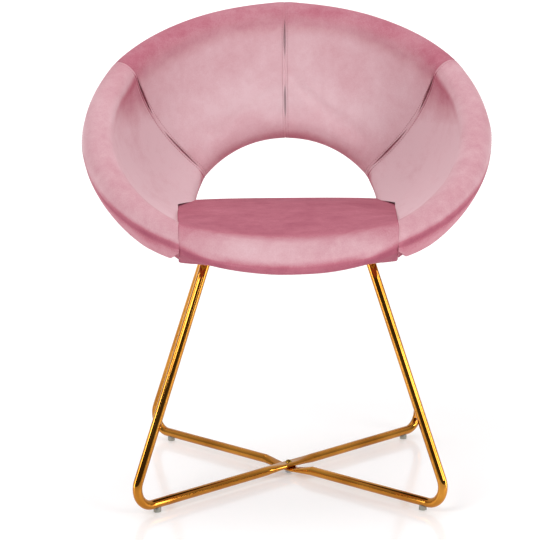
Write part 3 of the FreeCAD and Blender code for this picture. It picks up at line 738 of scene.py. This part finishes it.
# The four covers of the band
room = seat_room_mesh()
covers = {}
for side, mirror in (("right", False), ("left", True)):
    for kind, first, last, tone in (("back", 0.0, SEAM_ANGLE, back_tone),
                                    ("wing", SEAM_ANGLE, WING_LAST, wing_tone)):
        cover = band_cover(kind + "_pad_" + side, first, last, mirror)
        paint_sheen_shade(cover, tone)
        before = (points_of(cover.data), values_of(cover.data, "sheen_shade"))
        if kind == "wing":
            cut(cover, room)
        carry_marks(cover, before)
        covers[kind, side] = cover


# The seat pad
def pad_cover():
    """The seat pad: crowned, rolled at its front, round along its sides."""
    edge = 1.0 - SIDE_ROUND / PAD_FRONT
    shares = list(np.linspace(-edge, edge, PAD_COLUMNS))
    turns = [math.radians(a) for a in SIDE_TURNS]
    columns = [(share, 0.0) for share in shares]
    round_off = [(edge + (1.0 - edge) * math.sin(t), SIDE_ROUND * (1.0 - math.cos(t))) for t in turns]
    columns = [(-s, i) for s, i in reversed(round_off)] + columns + round_off
    outlines = []
    for share, inset in columns:
        outline = pad_outline(share, START_INSET + inset)
        outline[:, 0] += share * (START_INSET + PAD_PLUMP + inset)
        outlines.append(outline)
    count = len(outlines[0])
    side = np.repeat([abs(s) for s, _ in columns], count)
    steps = np.arange(count)
    nose = BASE_STEPS + CURL_STEPS + TURN_STEPS / 2.0
    shell = np.minimum(np.abs(steps - nose) * NOSE_STEP, MARK_REACH)
    piece = sewn_shell("seat_pad", outlines, {"shell": np.tile(shell, len(columns))})
    hold = np.maximum(smooth(side, edge - SIDE_HOLD, edge),
                      np.tile((steps < BASE_HELD).astype(float), len(columns)))
    swell(piece, hold, 1.0, SWELL_CAP)
    refine(piece, SMOOTH_LEVELS)
    mesh = piece.data
    points, normals = points_of(mesh), normals_of(mesh)
    depth = sewn_depth(values_of(mesh, "shell")) * SHALLOW_SEAM
    place(mesh, points - normals * depth[:, None])
    return piece


seat = pad_cover()
paint_sheen_shade(seat, seat_tone)
before = (points_of(seat.data), values_of(seat.data, "sheen_shade"))
pocket = bowed(BOARD_CORNER, BOARD_INSET - GAP, BOARD_FRONT_INSET - GAP, PAD_BOTTOM - POCKET_REACH,
               BOARD_TOP + GAP)
cut(seat, pocket)
carry_marks(seat, before)
for tool in (room, pocket):
    bpy.data.objects.remove(tool)

for side in ("right", "left"):
    settle(covers["back", side], "velvet", 0.8, "cover_back_" + side, "foam_back_" + side)
    settle(covers["wing", side], "velvet", 0.8, "cover_wing_" + side, "foam_wing_" + side)
settle(seat, "velvet", 0.85, "seat_cover", "seat_foam")


def topstitching_nodes():
    """Geometry nodes that lay one short stitch after another along the seam lines."""
    tree = bpy.data.node_groups.new("topstitching", "GeometryNodeTree")
    tree.interface.new_socket("Lines", in_out="INPUT", socket_type="NodeSocketGeometry")
    for name in ("Pitch", "Length", "Radius"):
        tree.interface.new_socket(name, in_out="INPUT", socket_type="NodeSocketFloat")
    tree.interface.new_socket("Seed", in_out="INPUT", socket_type="NodeSocketInt")
    tree.interface.new_socket("Thread", in_out="INPUT", socket_type="NodeSocketMaterial")
    tree.interface.new_socket("Stitches", in_out="OUTPUT", socket_type="NodeSocketGeometry")
    given = tree.nodes.new("NodeGroupInput").outputs
    lines = add(tree, "GeometryNodeMeshToCurve", {"Mesh": given["Lines"]})
    spots = add(tree, "GeometryNodeCurveToPoints", {"Curve": lines.outputs["Curve"], "Length": given["Pitch"]},
                mode="LENGTH")
    bead = add(tree, "GeometryNodeMeshIcoSphere", {"Radius": 1.0, "Subdivisions": 2})
    uneven = add(tree, "FunctionNodeRandomValue",
                 {2: STITCH_SHORTEST, 3: STITCH_LONGEST, "Seed": given["Seed"]}, data_type="FLOAT")
    half = add(tree, "ShaderNodeMath", {0: given["Length"], 1: 0.5}, operation="MULTIPLY")
    half = add(tree, "ShaderNodeMath", {0: half.outputs[0], 1: uneven.outputs[1]}, operation="MULTIPLY")
    size = add(tree, "ShaderNodeCombineXYZ", {"X": given["Radius"], "Y": given["Radius"], "Z": half.outputs[0]})
    along = add(tree, "FunctionNodeAlignRotationToVector", {"Vector": spots.outputs["Tangent"]}, axis="Z")
    sewn = add(tree, "GeometryNodeInstanceOnPoints",
               {"Points": spots.outputs["Points"], "Instance": bead.outputs["Mesh"],
                "Rotation": along.outputs["Rotation"], "Scale": size.outputs["Vector"]})
    real = add(tree, "GeometryNodeRealizeInstances", {"Geometry": sewn.outputs["Instances"]})
    dyed = add(tree, "GeometryNodeSetMaterial", {"Geometry": real.outputs["Geometry"], "Material": given["Thread"]})
    ending = tree.nodes.new("NodeGroupOutput")
    tree.links.new(dyed.outputs["Geometry"], ending.inputs["Stitches"])
    return tree


def lie_on(line, trees):
    """Puts each point of a line on the nearest cloth, half its thread above it."""
    laid = []
    for point in line:
        hits = [tree.find_nearest(Vector(point), STITCH_REACH) for tree in trees]
        near = min((hit for hit in hits if hit[0] is not None), key=lambda hit: hit[3], default=None)
        laid.append(None if near is None else near[0] + near[1] * STITCH_RADIUS * 0.5)
    return laid


def seam_rows():
    """Lines of topstitching: a row on each side of the three seams, one along each outer shell, one under the
    front of the seat."""
    rows = []
    for angle, mirrors in ((0.0, (1.0,)), (SEAM_ANGLE, (1.0, -1.0))):
        across = seam_plane(angle)[1]
        outline = band_outline(angle, 0.0)
        closed = np.vstack([outline, outline[:1]])
        for mirror in mirrors:
            for side in (-1.0, 1.0):
                rows.append((closed + across * side * STITCH_OFFSET) * (mirror, 1.0, 1.0))
    for mirror in (1.0, -1.0):
        shell = []
        for angle in np.arange(SEAM_ANGLE + 1.0, SHELL_ROW_END, SHELL_ROW_STEP):
            outline = band_outline(angle, 0.0)
            around = outline_marks(outline)
            shell.append(outline[np.argmin(np.abs(around - SHELL_SEAM - STITCH_OFFSET))] * (mirror, 1.0, 1.0))
        rows.append(np.array(shell))
    shares = np.linspace(-SEAT_ROW_HALF, SEAT_ROW_HALF, SEAT_ROW_POINTS)
    rows.append(np.array([pad_outline(share, 0.0)[SEAT_ROW] for share in shares]))
    return rows


def topstitching():
    """All the topstitching as one piece of small thread beads on the covers."""
    trees = []
    depsgraph = bpy.context.evaluated_depsgraph_get()
    for cover in list(covers.values()) + [seat]:
        trees.append(BVHTree.FromObject(cover, depsgraph))
    points, edges = [], []
    for row in seam_rows():
        last = None
        for point in lie_on(row, trees):
            if point is None or last is not None and (point - Vector(points[last])).length > STITCH_JUMP:
                last = None
            if point is not None:
                points.append(tuple(point))
                if last is not None:
                    edges.append((last, len(points) - 1))
                last = len(points) - 1
    mesh = bpy.data.meshes.new("topstitching")
    mesh.from_pydata(points, edges, [])
    piece = new_piece("topstitching", mesh)
    tree = topstitching_nodes()
    modifier = piece.modifiers.new("topstitching", "NODES")
    modifier.node_group = tree
    values = {"Pitch": STITCH_PITCH, "Length": STITCH_LENGTH, "Radius": STITCH_RADIUS, "Seed": STITCH_SEED,
              "Thread": THREAD}
    for socket in tree.interface.items_tree:
        if socket.in_out == "INPUT" and socket.name in values:
            modifier[socket.identifier] = values[socket.name]
    bake(piece)
    piece.data.shade_smooth()
    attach(piece, "root")


topstitching()

# Floor, light and surroundings
floor_mesh = bpy.data.meshes.new("floor")
FLOOR_REACH = 120.0
floor_corners = [(x * FLOOR_REACH, y * FLOOR_REACH, 0) for x, y in ((-1, -1), (1, -1), (1, 1), (-1, 1))]
floor_mesh.from_pydata(floor_corners, [], [(0, 1, 2, 3)])
floor = bpy.data.objects.new("floor", floor_mesh)
floor_mesh.materials.append(studio_floor())
scene.collection.objects.link(floor)

# Surroundings: dim in front of the chair, bright behind it
world = bpy.data.worlds.new("studio")
world.use_nodes = True
world.node_tree.nodes.clear()
scene.world = world
sky = world.node_tree
aim = add(sky, "ShaderNodeTexCoord").outputs["Generated"]
parts = add(sky, "ShaderNodeSeparateXYZ", {"Vector": aim})
back_glow = add(sky, "ShaderNodeMapRange", {"Value": parts.outputs["Y"], "From Min": -0.35, "From Max": 0.45,
                                            "To Min": 0.08, "To Max": 0.85})
background = add(sky, "ShaderNodeBackground",
                 {"Color": (1.0, 1.0, 1.0, 1.0), "Strength": back_glow.outputs["Result"]})
add(sky, "ShaderNodeOutputWorld", {"Surface": background.outputs[0]})


def softbox(name, at, target, width, height, power):
    """Soft area light that faces a point of the chair."""
    light = bpy.data.lights.new(name, "AREA")
    light.shape, light.size, light.size_y, light.energy = "RECTANGLE", width, height, power
    lamp = bpy.data.objects.new(name, light)
    lamp.location = at
    lamp.rotation_euler = (Vector(target) - Vector(at)).to_track_quat("-Z", "Y").to_euler()
    scene.collection.objects.link(lamp)
    return lamp


# Soft lights: name, place, the point that it faces, width, height and power. The strips show in reflections
# only
for setting in (("key", (-1.6, -2.6, 2.6), (0.0, 0.0, 0.6), 1.6, 1.6, 52.0),
                ("fill", (2.2, -2.2, 1.6), (0.0, 0.0, 0.5), 1.4, 1.6, 36.0),
                ("top", (0.0, 0.2, 2.8), (0.0, 0.0, 0.5), 2.2, 2.2, 20.0),
                ("strip_left", (-1.9, -0.6, 0.7), (0.0, 0.0, 0.3), 0.25, 1.6, 12.0),
                ("strip_right", (1.9, -0.5, 0.7), (0.0, 0.0, 0.3), 0.25, 1.6, 12.0)):
    lamp = softbox(*setting)
    if lamp.name.startswith("strip"):
        lamp.visible_diffuse = False
